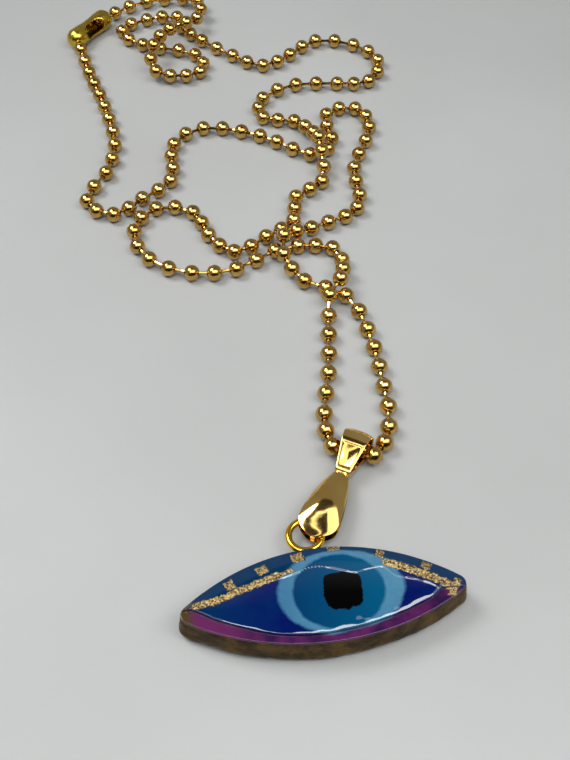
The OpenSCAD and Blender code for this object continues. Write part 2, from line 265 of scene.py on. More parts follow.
def colour(red, green, blue):
    """A screen colour, 0 to 255, as the linear light that the shader works in."""
    c = np.array([red, green, blue]) / 255
    linear = np.where(c <= 0.04045, c / 12.92, ((c + 0.055) / 1.055) ** 2.4)
    return (*linear.tolist(), 1.0)


def noise(tree, scale, detail, roughness=0.5):
    """Blender's noise over the piece's own place, in waves per metre."""
    place = node(tree, "TexCoord", {})
    return node(tree, "TexNoise", {"Vector": place.outputs["Object"], "Scale": scale,
                                   "Detail": detail, "Roughness": roughness}).outputs["Fac"]


def mixed(tree, share, under, over):
    """A colour between two others."""
    return node(tree, "Mix", {0: share, 6: under, 7: over}, data_type="RGBA").outputs[2]


def spread(tree, value, low, high, to_low=0.0, to_high=1.0):
    """Stretches a value's range low..high over to_low..to_high, and stops there."""
    return node(tree, "MapRange", {"Value": value, "From Min": low, "From Max": high,
                                   "To Min": to_low, "To Max": to_high}).outputs["Result"]


def maths(tree, operation, a, b=0.0):
    """One sum on two values."""
    return node(tree, "Math", {0: a, 1: b}, operation=operation).outputs[0]


def product(tree, a, b):
    """One value times another."""
    return maths(tree, "MULTIPLY", a, b)


def own_x(tree):
    """The piece's own X, in metres, which says how far along the charm a point lies."""
    place = node(tree, "TexCoord", {}).outputs["Object"]
    return node(tree, "SeparateXYZ", {"Vector": place}).outputs["X"]


def bumps(tree, height, strength, distance):
    """A bump of the given height, in metres, for a shader's Normal."""
    return node(tree, "Bump", {"Height": height, "Strength": strength,
                               "Distance": distance}).outputs["Normal"]


def finish_with(tree, inputs):
    """The surface shader and the output."""
    shader = node(tree, "BsdfPrincipled", inputs)
    node(tree, "OutputMaterial", {"Surface": shader.outputs["BSDF"]})


# %% [markdown]
# ## The camera
#
# The picture was taken from above the pendant's near side, looking down at 53 degrees, from where
# the chain's even balls fall on their places in it.

# %% Camera
LOOK_DOWN = np.radians(53)
HEADING = (0.120, 0.993)
LENS, SENSOR = 48.363, 36
forward = Vector((*(np.cos(LOOK_DOWN) * np.array(HEADING)), -np.sin(LOOK_DOWN)))
eye_place = Vector((-0.01029, -0.04879, 0.110))
camera = set_out("camera", bpy.data.cameras.new("camera"))
camera.location = eye_place
camera.rotation_euler = forward.to_track_quat("-Z", "Y").to_euler()
camera.data.lens, camera.data.sensor_width = LENS, SENSOR
camera.data.clip_start = 0.001
bpy.context.scene.camera = camera
print(f"camera {eye_place.z} m over the table")

# %% [markdown]
# ## The table
#
# The necklace lies on a pale, even board: a large flat sheet just under the part, with a faint
# grain so that it doesn't look like empty air. It is stage, not part of the object.

# %% Table
SQUARE = ((-1, -1), (1, -1), (1, 1), (-1, 1))
BOARD_HALF, BOARD_Z = 1.6, -0.00002


def flat_sheet(name, corners, finish):
    """A flat sheet with four corners."""
    mesh = bpy.data.meshes.new(name)
    mesh.from_pydata(corners, [], [(0, 1, 2, 3)])
    mesh.materials.append(finish)
    return set_out(name, mesh)


board_finish, tree = new_finish("pale_board")
cloud = spread(tree, noise(tree, 14, 4), 0.35, 0.65)
finish_with(tree, {
    "Base Color": mixed(tree, cloud, colour(144, 145, 144), colour(151, 153, 152)),
    "Roughness": 0.62,
    "Normal": bumps(tree, noise(tree, 2600, 5, 0.6), 0.18, 0.0001),
})
board = flat_sheet("board", [(BOARD_HALF * i, BOARD_HALF * j, BOARD_Z) for i, j in SQUARE],
                   board_finish)
print("board:", 2 * BOARD_HALF, "m wide")

# %% [markdown]
# ## The light
#
# The main light stands at the far left, as a window does, and throws the shadows to the right and
# nearer. A broad dim light over the near side gives the metal its bright spots. A narrow strong
# one just under it draws the white lines along the resin's edges.

# %% Lights
def soft_light(name, place, aim, wide, tall, brightness, tint=(1, 1, 1)):
    """A flat lamp, its sides in metres, turned from its place towards its aim. A lamp's power is
    its brightness times pi times its area."""
    lamp = bpy.data.lights.new(name, "AREA")
    lamp.shape, lamp.size, lamp.size_y, lamp.color = "RECTANGLE", wide, tall, tint
    lamp.energy = brightness * np.pi * wide * tall
    light = set_out(name, lamp)
    light.location = place
    light.rotation_euler = (Vector(aim) - Vector(place)).to_track_quat("-Z", "Y").to_euler()
    light.visible_camera = False


soft_light("window", (-0.24, 0.16, 0.40), (0, 0.03, 0), 0.20, 0.20, 13.8, (0.98, 0.99, 1.0))
soft_light("over_light", (0.10, -0.10, 0.37), (0.10, -0.10, 0), 0.66, 0.32, 2.5)
soft_light("bright_strip", (0.09, -0.085, 0.36), (0.09, -0.085, 0), 0.42, 0.05, 12)
bpy.context.scene.view_settings.view_transform = "Standard"
print("lamps:", [light.name for light in bpy.data.lights])

# %% [markdown]
# ### The room that the gloss shows
#
# Polished gold and clear resin are seen by what they mirror. A panorama picture could be the room.
# A plain grey one is enough: darker overhead, where the flat resin looks, and dark behind the
# camera. A small dark card above the camera is the phone that each ball mirrors.

# %% Room and card
NEAR_WALL, FAR_WALL = (0.03, 0.028, 0.026, 1), (0.27, 0.265, 0.26, 1)
CEILING = (0.05, 0.05, 0.05, 1)
CARD_AWAY, CARD_WIDE, CARD_HIGH = 0.074, 0.022, 0.018
room = bpy.data.worlds.new("room")
room.use_nodes = True
tree = room.node_tree
tree.nodes.clear()
direction = node(tree, "SeparateXYZ", {"Vector": node(tree, "TexCoord", {}).outputs["Generated"]})
far_side = spread(tree, direction.outputs["Y"], -0.68, -0.5)
room_colour = mixed(tree, far_side, NEAR_WALL, FAR_WALL)
high_up = spread(tree, direction.outputs["Z"], 0.83, 0.90)
room_colour = mixed(tree, high_up, room_colour, CEILING)
backdrop = node(tree, "Background", {"Color": room_colour, "Strength": 1.0})
node(tree, "OutputWorld", {"Surface": backdrop.outputs["Background"]})
bpy.context.scene.world = room

dark_finish, tree = new_finish("dark_card")
finish_with(tree, {"Base Color": (0.01, 0.01, 0.01, 1), "Roughness": 0.9})
card_side, card_up = Vector((1, 0, 0)), Vector((0, 0.8, 0.6))
card_at = eye_place + CARD_AWAY * card_up
card_corners = [card_at + CARD_WIDE * i * card_side + CARD_HIGH * j * card_up for i, j in SQUARE]
card = flat_sheet("card_over_camera", card_corners, dark_finish)
card.visible_camera = card.visible_diffuse = card.visible_shadow = False
print("card", 2 * CARD_WIDE, "x", 2 * CARD_HIGH, "m")

# %% [markdown]
# ## The almond slab
#
# The charm is an almond cut by hand from a thick sheet. A cube with two curved cuts would do for a
# new one. Here four arcs that touch make the outline, which goes down the edge as rings: each
# stands out by its place in the edge's bulge, and less wherever there is a dent.

# %% The almond's outline
HALF_LONG, HALF_WIDE, TIP_R = 16.2, 5.8, 1.1
SLAB_TOP = 4.0
CUT_SHIFT, SAG_LEFT, SAG_RIGHT = 0.05, 0.0030, 0.0019
tip_x = HALF_LONG - TIP_R
SIDE_R = (tip_x**2 + HALF_WIDE**2 - TIP_R**2) / (2 * (HALF_WIDE - TIP_R))
side_y = SIDE_R - HALF_WIDE
tip_turn = np.arctan2(side_y, tip_x)


def arc(middle_x, middle_y, radius, start, end):
    """Points middle + r (cos a, sin a), with the outward direction of each."""
    a = np.linspace(start, end, 400)[:-1]
    out = np.stack([np.cos(a), np.sin(a)], -1)
    return np.hstack([np.array([middle_x, middle_y]) + radius * out, out])


def almond(count):
    """Places and outward directions round the rim, evenly, anticlockwise from the right tip."""
    turns = [0, tip_turn, np.pi - tip_turn, np.pi + tip_turn, 2 * np.pi - tip_turn, 2 * np.pi]
    arcs = [(tip_x, 0, TIP_R), (0, -side_y, SIDE_R), (-tip_x, 0, TIP_R), (0, side_y, SIDE_R),
            (tip_x, 0, TIP_R)]
    drawn = [arc(*one, *ends) for one, ends in zip(arcs, zip(turns, turns[1:]))]
    path = evenly(np.vstack(drawn), count)
    return path[:, :2], unit(path[:, 2:])


def hand_cut(points):
    """The cut sags towards both tips: y loses sag x^2, with less sag on the right."""
    x = points[..., 0]
    moved = points.copy()
    moved[..., 1] += CUT_SHIFT - np.where(x < 0, SAG_LEFT, SAG_RIGHT) * x**2
    return moved


print(f"long arcs' radius: {SIDE_R:.2f} mm")


# %% The slab's rings
rim, rim_out = almond(420)
heights = np.concatenate([[0, 0.03], np.linspace(0.12, 3.86, 20), [3.95, 4.0]])
bulge = smooth_through([0, 0.2, 0.6, 1.2, 2.4, 3.6, 4.0],
                       [-0.35, -0.05, 0.28, 0.45, 0.3, 0.1, 0.02], heights)
bulge[-1] -= 0.07
rings = np.zeros((len(heights), len(rim), 3))
rings[..., :2] = rim + bulge[:, None, None] * rim_out
rings[..., 2] = heights[:, None]
depth_share = 1 - heights[:, None] / SLAB_TOP


def dents(size, seed, at_face, more):
    """Dents of one size, all in mm: at_face deep at the face, and deeper by more at the back."""
    return (0.5 - 0.5 * grain(rings, size, seed)) * (at_face + more * depth_share)


inwards = dents(3.4, 3, 0.06, 0.16) + dents(0.9, 4, 0.03, 0.09)
chip = np.clip(grain(rings, 1.7, 5) - 0.15, 0, 1) * np.clip(1.3 - rings[..., 2], 0, 1)
inwards += 0.7 * chip
rings[..., :2] -= inwards[..., None] * rim_out
slab_skin = seamed(hand_cut(rings))
print(f"slab edge dents up to {inwards.max():.2f} mm")

# %% [markdown]
# ### Bronze paint
#
# The edge is brushed with metallic paint in patches: olive brown where its bump dips, brighter
# gold where the bump rises, and gold again at the right tip. Two noises of different size choose
# between three colours.

# %% Bronze paint
bronze_paint, tree = new_finish("bronze_paint")
broad, fine = noise(tree, 420, 5, 0.6), noise(tree, 2300, 4, 0.6)
right_tip = spread(tree, own_x(tree), 0.0105, 0.0160)
# The bump below is made from the same noises: olive brown where it dips, gold where it rises.
thick = maths(tree, "ADD", spread(tree, broad, 0.42, 0.68), product(tree, right_tip, 0.35))
brown = mixed(tree, spread(tree, fine, 0.35, 0.62), colour(30, 22, 4), colour(56, 41, 13))
paint = mixed(tree, thick, brown, colour(100, 76, 33))
finish_with(tree, {
    "Base Color": paint,
    "Metallic": spread(tree, thick, 0.1, 0.9, 0.2, 0.6),
    "Specular IOR Level": 0.1,
    "Roughness": spread(tree, fine, 0.3, 0.7, 0.34, 0.58),
    "Normal": bumps(tree, maths(tree, "ADD", broad, product(tree, fine, 0.5)), 0.6, 0.00025),
})
make_piece("hand_cut_slab", slab_skin, bronze_paint, ["pendant_base"], crease=55)

# %% [markdown]
# ## The eye under its resin
#
# The eye is painted on the slab under clear resin: thin over the lids, domed over the eyeball. A
# flat picture under a glassy lens is one way to make it. Here one surface carries both, because
# the layer is thin and its gloss is a clear coat on the paint. Its rings start at the rim, run in
# to the eye's opening, and shrink from there to its middle line. Each point then gets a height: a
# bevelled step up at the lower lid, a low crown over the eyeball, a slope from the upper lid to
# the rim, and a broken ridge along that lid.

# %% The eyeball's opening between the lids
LID_UP = np.array([(-14.9, -0.28), (-13.6, -0.12), (-12.25, 0.13), (-10.0, 0.72), (-7.7, 1.5),
                   (-5.2, 2.4), (-2.45, 3.2), (-0.3, 3.72), (1.9, 3.6), (4.2, 3.15), (6.6, 2.75),
                   (8.6, 1.85), (10.4, 0.85), (12.0, -0.05), (13.4, -0.95)])
LID_LOW = np.array([(-14.9, -0.28), (-13.6, -1.05), (-12.4, -1.75), (-10.7, -2.54), (-8.6, -3.37),
                    (-6.1, -4.2), (-3.6, -4.62), (-1.0, -4.8), (1.1, -4.68), (3.7, -4.4),
                    (6.0, -3.9), (8.2, -3.35), (10.2, -2.65), (12.0, -1.9), (13.4, -0.95)])


def lid_heights(x):
    """Where the upper and the lower lid lie at each x, which meet at the eye's two corners."""
    x = np.clip(x, LID_UP[0, 0], LID_UP[-1, 0])
    return smooth_through(*LID_UP.T, x), smooth_through(*LID_LOW.T, x)


def line_distance(points, path):
    """Distance from each point to the nearest place on a path of straight runs."""
    a, run = path[:-1], np.diff(path, axis=0)
    away = points[..., None, :] - a
    t = np.clip((away * run).sum(-1) / (run**2).sum(-1), 0, 1)
    return np.linalg.norm(away - t[..., None] * run, axis=-1).min(axis=-1)


def smooth_path(knots, count):
    """A smooth line through chosen points, each coordinate taken along the points' own order."""
    at = np.linspace(0, len(knots) - 1, count)
    return np.stack([smooth_through(range(len(knots)), knots[:, k], at) for k in range(2)], -1)


def inside_lid(points, lid_line, side):
    """Distance in from one lid's line, in mm, and less than 0 beyond it. side is 1 for the lower
    lid, whose eyeball lies above its line, and -1 for the upper one."""
    line_y = lid_heights(points[..., 0])[0 if side < 0 else 1]
    away = line_distance(points, smooth_path(lid_line, 60))
    return np.where(side * (points[..., 1] - line_y) > 0, away, -away)


def inside_rim(points):
    """Distance in from the almond's rim: to the nearer long arc, or at a tip to the tip's arc."""
    x, y = np.abs(points[..., 0]), np.abs(points[..., 1])
    side = SIDE_R - np.hypot(x, y + side_y)
    tip = TIP_R - np.hypot(x - tip_x, y)
    return np.where((x > tip_x) & (y < np.tan(tip_turn) * (x - tip_x)), tip, side)


# %% Rings that follow the lids
FACE_INSET = 0.06
face_rim, _ = almond(760)
half_sizes = np.array([HALF_LONG, HALF_WIDE])
face_rim = face_rim * ((half_sizes - FACE_INSET) / half_sizes)
along_eye = (face_rim[:, 0] / (HALF_LONG - FACE_INSET) + 1) / 2
lid_x = LID_UP[0, 0] + along_eye * (LID_UP[-1, 0] - LID_UP[0, 0])
upper_y, lower_y = lid_heights(lid_x)
lid_edge = np.stack([lid_x, np.where(face_rim[:, 1] > 0, upper_y, lower_y)], -1)
spine = np.stack([lid_x, (upper_y + lower_y) / 2], -1)
rim_edge = hand_cut(face_rim)
to_lid = np.concatenate([[0, 0.01, 0.03, 0.055, 0.085, 0.12], np.linspace(0.17, 0.67, 12),
                         np.linspace(0.69, 1.0, 15)])[:, None, None]
to_spine = np.concatenate([np.linspace(0.008, 0.2, 20), np.linspace(0.2125, 0.5, 24),
                           np.linspace(0.54, 0.996, 12)])[:, None, None]
cut_face = np.concatenate([rim_edge + to_lid * (lid_edge - rim_edge),
                           lid_edge + to_spine * (spine - lid_edge)])
print("face grid:", cut_face.shape[:2])

# %% How far in each point lies
face_x, face_y = cut_face[..., 0], cut_face[..., 1]
uncut = cut_face - (hand_cut(cut_face) - cut_face)
edge_in = inside_rim(uncut)
in_up, in_low = inside_lid(cut_face, LID_UP, -1), inside_lid(cut_face, LID_LOW, 1)
lid_up, lid_low = lid_heights(face_x)
open_h = np.maximum(lid_up - lid_low, 1e-6)
over_low = np.clip((face_y - lid_low) / open_h, 0, 1)
plan = np.stack([face_x, face_y, 0 * face_x], -1)
print(f"the eye opens {open_h.max():.2f} mm")

# %% The resin's height
LID_RISE, LID_ROUND = 0.36, 0.16
FOOT_RISE, FOOT_W = 0.44, 0.13
BEVEL, BEVEL_SLOPE = 0.26, 0.28
FALL_RATE, CROWN, OPEN_MOST = 1.7, 0.16, 8.4
lid = LID_RISE * quarter_round(edge_in / LID_ROUND)
lid *= 1 + 0.08 * grain(plan, 1.6, 11) * np.clip(1 - edge_in / 0.9, 0, 1)
foot_w = FOOT_W + 0.06 * grain(plan, 0.9, 12)
near_foot = 1 - smooth_step((in_low - 0.5) / 0.9)
wider = 0.35 + 0.65 * smooth_step((face_x + 4) / 6)
bevel_w = BEVEL * wider * (1 + 0.7 * near_foot * grain(plan, 1.1, 18))
bevel = BEVEL_SLOPE * np.clip(in_low - foot_w, 0, bevel_w)
fall = np.clip(np.where(in_up < 0, FALL_RATE * edge_in / (edge_in - in_up + 1e-9), 1), 0, 1)
swell = (FOOT_RISE * quarter_round(in_low / foot_w) + bevel) * np.where(in_low > 0, fall, 0)
crown = CROWN * 4 * over_low * (1 - over_low) * np.clip(open_h / OPEN_MOST, 0, 1) ** 0.8
print(f"step {swell.max():.2f} mm, crown {crown.max():.2f} mm")

# %% The ridge along the upper lid
RIDGE = np.array([(-8.0, 1.6), (-6.2, 2.0), (-4.4, 2.3), (-3.3, 2.6), (-2.4, 2.85), (-1.5, 3.15),
                  (-0.4, 3.2), (0.9, 2.95), (2.1, 2.55), (3.4, 2.1), (4.0, 1.98), (4.8, 2.2),
                  (5.8, 2.35), (6.9, 2.4), (7.7, 1.75), (8.4, 1.0), (9.7, 0.6), (11.3, 0.0),
                  (12.3, -0.5), (12.9, -1.0)])
RIDGE_RISE, NEAR_W, FAR_W = 0.115, 0.24, 0.3
COMB_FROM, COMB_TO, COMB_STEP = -2.5, 0.8, 0.38
RESIN_TOP = 5.28
ridge_line = smooth_path(RIDGE, 160)
below = np.interp(face_x, *ridge_line.T) - face_y
away = np.where(below > 0, 1, -1) * line_distance(cut_face, ridge_line)
ends = smooth_step((face_x - RIDGE[0, 0]) / 3.5) * smooth_step((RIDGE[-1, 0] - face_x) / 0.5)
combed = smooth_step((face_x - COMB_FROM) / 0.3) * smooth_step((COMB_TO - face_x) / 0.3)
broken = np.clip(0.95 + 0.45 * grain(plan, 0.9, 15), 0.2, 1.1)
broken *= 1 - combed * (0.45 + 0.45 * np.sin(2 * np.pi * face_x / COMB_STEP))
slopes = np.where(away > 0, 1 - np.clip(away / NEAR_W, 0, 1), smooth_step((away + FAR_W) / FAR_W))
ridge = RIDGE_RISE * broken * ends * slopes
ripple = 0.002 * grain(plan, 2.4, 14) * np.clip(edge_in, 0, 1)
resin_z = np.minimum(SLAB_TOP + lid + swell + crown + ridge + ripple, RESIN_TOP)
print(f"resin rises to {resin_z.max():.2f} mm")

# %% [markdown]
# ### Where each colour lies
#
# The painter's shapes are stored as distances: each point knows how far inside the ring, the iris,
# the pupil and the gold strokes it lies, and the finish turns that into a painted edge. It stays
# crisp at any size, while a colour stored at the points would blur between them.

# %% Distances to the painted shapes
def inside_oval(points, middle, reach, power=2.0):
    """Distance in from an oval's edge: (1 - r) times its smaller half width, where
    r^p = |x / a|^p + |y / b|^p. A larger p makes the oval squarer."""
    away = np.abs((points - middle) / reach) ** power
    return (1 - away.sum(-1) ** (1 / power)) * min(reach)


def inside_bar(points, middle, size, lean):
    """Distance in from a straight-edged brush mark that leans by an angle in degrees."""
    c, s = np.cos(np.radians(lean)), np.sin(np.radians(lean))
    local = (points - middle) @ np.array([[c, -s], [s, c]])
    return (np.array(size) / 2 - np.abs(local)).min(axis=-1)


def inside_stroke(points, knots, wide):
    """Distance in from a brush stroke's edge: half its width less the distance to its line."""
    return wide / 2 - line_distance(points, smooth_path(np.array(knots), 40))


strokes = [
    inside_stroke(cut_face, [(-14.4, 0.0), (-13.1, 0.2), (-11.8, 0.42), (-10.0, 1.05),
                             (-8.1, 1.62), (-6.5, 2.1), (-4.9, 2.6)], 0.85),
    inside_stroke(cut_face, [(-5.2, 2.5), (-4.3, 2.75), (-3.3, 3.0)], 0.5),
    inside_stroke(cut_face, [(7.6, 2.75), (9.4, 1.95), (11.2, 1.0), (12.9, 0.05), (14.3, -0.85)],
                  0.95),
]
BARS = [((-10.4, 2.1), (1.1, 1.2), 25), ((-6.6, 3.5), (1.3, 1.1), 20),
        ((-2.4, 4.6), (1.4, 1.25), 12), ((1.9, 5.35), (1.4, 0.55), 0),
        ((7.0, 4.0), (0.9, 1.1), -25), ((12.0, 1.95), (1.1, 1.0), -30),
        ((14.75, -1.0), (0.8, 2.2), -32)]
strokes += [inside_bar(cut_face, *bar) for bar in BARS]
measures = {
    "opening": np.minimum(in_up, in_low),
    "near_lid": (lid_up + lid_low) / 2 - face_y,
    "ring": np.minimum(inside_oval(cut_face, (1.9, 0.0), (7.15, 5.05)), in_low + 0.06),
    "iris": inside_oval(cut_face, (1.65, -0.1), (5.2, 4.5)),
    "pupil": inside_oval(cut_face, (2.15, -0.1), (2.2, 2.25), 3.2),
    "gold": np.max(strokes, axis=0),
    "rim": edge_in,
}
face_rings = np.concatenate([cut_face, resin_z[..., None]], -1)
foot = face_rings[:1].copy()
foot[..., 2] = SLAB_TOP
face_rings = np.concatenate([foot, face_rings])
measures = {label: np.concatenate([values[:1], values]) for label, values in measures.items()}
print("measures:", ", ".join(measures))

# %% [markdown]
# ### Paint under a clear coat
#
# Each colour is laid over the one before, as the painter did, and a little noise is added to each
# distance so that the edges look brushed. The coat is smooth and the paint under it is not, so the
# bump goes to the paint alone.

# %% Brushes
LAMP_WHITE, VEIL = 1.8, 0.003
eye_paint, tree = new_finish("eye_paint_under_resin")


def painted(label, ragged, soft, waves=1500):
    """1 inside a painted shape and 0 outside, with the edge moved in and out by a ragged noise."""
    distance = node(tree, "Attribute", {}, attribute_name=label).outputs["Fac"]
    shift = spread(tree, noise(tree, waves, 3, 0.6), 0.25, 0.75, -ragged, ragged)
    return spread(tree, maths(tree, "ADD", distance, shift), -soft, soft)


def under_resin(red, green, blue):
    """The paint that shows as this screen colour: less the coat's faint veil, and divided by the
    brightness that the lamps give to white."""
    linear = np.array(colour(red, green, blue)[:3])
    return (*(np.clip(linear - VEIL, 0, 1) / LAMP_WHITE).tolist(), 1.0)


def blend(share, one, other):
    """Two paints mixed by a share, each given as the colour that shows."""
    return mixed(tree, share, under_resin(*one), under_resin(*other))


# %% Lids and eyeball
x_at = own_x(tree)
streak = noise(tree, 900, 4, 0.65)
cloudy = spread(tree, noise(tree, 260, 3), 0.4, 0.65)
far_lid = blend(streak, (0, 42, 76), (2, 62, 104))
purples = spread(tree, noise(tree, 420, 3), 0.38, 0.62)
near_lid = blend(purples, (52, 27, 70), (98, 40, 94))
near_lid = mixed(tree, spread(tree, x_at, -0.006, -0.0125), near_lid, under_resin(108, 46, 94))
lids = mixed(tree, painted("near_lid", 0.2, 0.25), far_lid, near_lid)
eyeball = blend(spread(tree, x_at, -0.012, -0.007), (2, 48, 94), (0, 26, 96))
eyeball = mixed(tree, cloudy, eyeball, under_resin(2, 42, 100))
face = mixed(tree, painted("opening", 0.05, 0.06), lids, eyeball)
print("with lids and eyeball:", len(tree.nodes), "nodes")

# %% Ring, iris and pupil
ring_blue = blend(spread(tree, x_at, -0.0058, -0.002), (44, 106, 148), (86, 142, 174))
ring_blue = mixed(tree, spread(tree, streak, 0.35, 0.7), ring_blue, under_resin(74, 128, 164))
face = mixed(tree, painted("ring", 0.14, 0.16, 700), face, ring_blue)
iris_blue = blend(spread(tree, x_at, -0.004, 0.008), (1, 60, 104), (4, 92, 132))
face = mixed(tree, painted("iris", 0.12, 0.16, 700), face, iris_blue)
face = mixed(tree, painted("pupil", 0.22, 0.05, 900), face, (0.0, 0.0, 0.0, 1.0))
print("with iris and pupil:", len(tree.nodes), "nodes")

# %% Gold foil, and the bronze that runs over the edge
foil_breaks = spread(tree, noise(tree, 3200, 3, 0.7), 0.28, 0.40)
foil = product(tree, painted("gold", 0.16, 0.05, 2400), foil_breaks)
crinkle = noise(tree, 4200, 4, 0.7)
# The foil's colour follows its crinkles, whose bump is the same noise: dark brown in their dips,
# partly the foil's own brown and partly painted shade, and pale gold on their crests, partly the
# foil's own gold and partly painted highlight.
flakes_shade_and_glints = spread(tree, crinkle, 0.40, 0.60)
face = mixed(tree, foil, face, mixed(tree, flakes_shade_and_glints, colour(56, 40, 18), colour(212, 184, 124)))
edge_paint = maths(tree, "SUBTRACT", 1.0, painted("rim", 0.05, 0.04, 1800))
tip_place = maths(tree, "ADD", x_at, product(tree, streak, 0.0016))
bare = maths(tree, "MAXIMUM", edge_paint, spread(tree, tip_place, -0.0136, -0.0146))
face = mixed(tree, bare, face, colour(62, 48, 26))
print("with foil and bronze:", len(tree.nodes), "nodes")

# %% The coat, and the finished eye
relief = maths(tree, "ADD", product(tree, streak, 0.2), product(tree, foil, crinkle))
finish_with(tree, {
    "Base Color": face,
    "Metallic": product(tree, foil, 0.9),
    "Roughness": spread(tree, foil, 0, 1, 0.5, 0.3),
    "Specular IOR Level": 0.0,
    "Normal": bumps(tree, relief, 0.8, 0.00022),
    "Coat Weight": 1.0,
    "Coat Roughness": 0.03,
    "Coat IOR": 1.5,
})
make_piece("painted_eye", seamed(face_rings), eye_paint, ["eye_dome"], 60, measures)

# %% [markdown]
# ## Gold plate
#
# The wire eye, the bail and the chain are plated brass. Polished metal is nearly all reflection,
# so its own colour only tints the room. A broad faint ripple bends the reflections, which gives
# stamped metal its broken highlights.

# %% Gold finishes
def gold_plate(name, dark, light, rough, ripple_depth, waves):
    """Polished plate: two golds mixed by a noise, and a soft ripple as bump."""
    finish, tree = new_finish(name)
    wave = noise(tree, waves, 2, 0.4)
    speck = noise(tree, waves * 9, 2)
    finish_with(tree, {
        "Base Color": mixed(tree, spread(tree, wave, 0.3, 0.7), colour(*dark), colour(*light)),
        "Metallic": 1.0,
        "Roughness": spread(tree, speck, 0.35, 0.75, rough, rough * 1.8),
        "Normal": bumps(tree, wave, 0.5, ripple_depth),
    })
    return finish


bail_gold = gold_plate("bail_gold", (214, 172, 92), (238, 202, 122), 0.07, 0.0001, 300)
wire_gold = gold_plate("wire_gold", (226, 176, 40), (248, 208, 74), 0.10, 0.00005, 500)
chain_gold = gold_plate("chain_gold", (186, 146, 76), (212, 176, 102), 0.10, 0.00008, 520)
clasp_brass = gold_plate("clasp_brass", (182, 150, 48), (214, 184, 72), 0.17, 0.0001, 420)
print("finishes:", len(bpy.data.materials))

# %% [markdown]
# ## The wire eye
#
# A round wire is bent into an eye, and its straight end is screwed into the slab. A torus would
# serve for the ring alone. Here its formula is written out, and the shank is a round profile
# carried along a path, which makes the bail's pegs as well.

# %% A round profile along a path
def tube(path, radii, around, start_side):
    """Rings of radius r round each point of a path, at right angles to it. Sideways is start_side
    made square to the path: s = n - (n . t) t."""
    t = unit(np.gradient(path, axis=0))
    side = unit(start_side - (t @ start_side)[:, None] * t)
    up = np.cross(t, side)
    a = round_angles(around)[None, :, None]
    round_ring = np.cos(a) * side[:, None] + np.sin(a) * up[:, None]
    return path[:, None] + np.asarray(radii)[:, None, None] * round_ring


# %% Ring and shank
EYE_AT = np.array([-0.95, 8.734, 2.0])
EYE_RING_R, EYE_WIRE_R = 1.975, 0.425
UP = np.array([0.0, 0.0, 1.0])
a = round_angles(72)
around_eye = np.stack([np.sin(a), np.cos(a), 0 * a], -1)[:, None]
b = round_angles(22)[None, :, None]
ring_rows = (EYE_AT + EYE_RING_R * around_eye
             + EYE_WIRE_R * (np.cos(b) * around_eye + np.sin(b) * UP))
depth = np.array([-5.9, -5.85, -5.3, -3.5, -3.1, -2.95, -2.6, -2.3])
shank_path = EYE_AT + depth[:, None] * [0, 1, 0]
shank_r = np.array([0.1, 0.3, 0.35, 0.35, 0.42, 0.52, 0.5, 0.3])
shank_rows = tube(shank_path, shank_r, 20, UP)
wire_skin = joined([looped(ring_rows), poled(shank_rows)])
make_piece("wire_eye", wire_skin, wire_gold, ["screw_eye"])

# %% [markdown]
# ## The pinch bail's leaves
#
# Two stamped teardrops face each other, each a thin sheet with an upright wall and a smooth domed
# top. A subdivided box can be pulled into such a shape, but its crisp edge is hard to keep. So the
# teardrop's outline shrinks in rings to a line along its middle, with a height for each: the wall,
# a small turn, the dome. The same rings run back underneath.

# %% The leaf's outline
PEG_AT = np.array([0.069, 8.841, 2.0])
LEAN = np.radians(30.5)
LEAF_FROM, LEAF_TO, LEAF_WALL = -0.7, 8.9, 0.35
ROUND_LONG, NECK_ROUND = 2.1, 0.25
leaf_u = [-0.7, -0.1, 0.5, 1.5, 2.4, 3.8, 5.2, 6.45, 7.5, 8.15, 8.9]
leaf_half = [1.55, 2.0, 2.28, 2.44, 2.45, 2.3, 2.08, 1.82, 1.52, 1.28, 0.98]


def on_bail(points):
    """From the bail's own frame, with u running up it from the pegs, to the table's:
    (x, u, z) turned by the bail's lean and moved to the pegs."""
    x, u, z = points[..., 0], points[..., 1], points[..., 2]
    c, s = np.cos(LEAN), np.sin(LEAN)
    return np.stack([c * x + s * u, -s * x + c * u, z], -1) + PEG_AT


edge_u = LEAF_FROM + (LEAF_TO - LEAF_FROM) * (1 - np.cos(np.linspace(0, np.pi, 260))) / 2
round_end = quarter_round((edge_u - LEAF_FROM) / ROUND_LONG)
neck_end = (1 - np.clip((edge_u - LEAF_TO) / NECK_ROUND + 1, 0, 1) ** 4) ** 0.25
edge_half = smooth_through(leaf_u, leaf_half, edge_u) * round_end * neck_end
right_edge = np.stack([edge_half, edge_u], -1)
left_edge = right_edge[-2:0:-1] * [-1, 1]
leaf_path = evenly(np.vstack([right_edge, left_edge]), 180)
leaf_spine = np.stack([0 * leaf_path[:, 0], 1.3 + (leaf_path[:, 1] - LEAF_FROM) * 0.72], -1)
inner_path = leaf_path + LEAF_WALL * unit(leaf_spine - leaf_path)
print(f"leaf {LEAF_TO - LEAF_FROM:.2f} x {2 * edge_half.max():.2f} mm")

# %% The leaf's dome
MIRROR_Z = [1, 1, -1]
ALMOST, DOME_POWER = 0.996, 2.6
crest_u = [-0.7, 0.2, 1.0, 1.8, 2.6, 3.4, 4.2, 5.0, 5.8, 6.8, 7.9, 8.9]
crest_z = [0.71, 0.85, 1.03, 1.235, 1.43, 1.58, 1.65, 1.59, 1.43, 1.15, 0.86, 0.64]
rim_u = [-0.7, 2.2, 3.3, 4.5, 5.65, 6.8, 7.75, 8.4, 8.9]
rim_z = [0.605, 0.594, 0.54, 0.45, 0.345, 0.23, 0.13, 0.07, 0.05]


def leaf_edge(along):
    """Heights of the leaf's rim and of its wall's top at a place along it."""
    rim_at = smooth_through(rim_u, rim_z, along)
    return rim_at, rim_at + 0.1 + 0.16 * smooth_step((along - LEAF_FROM) / 3)


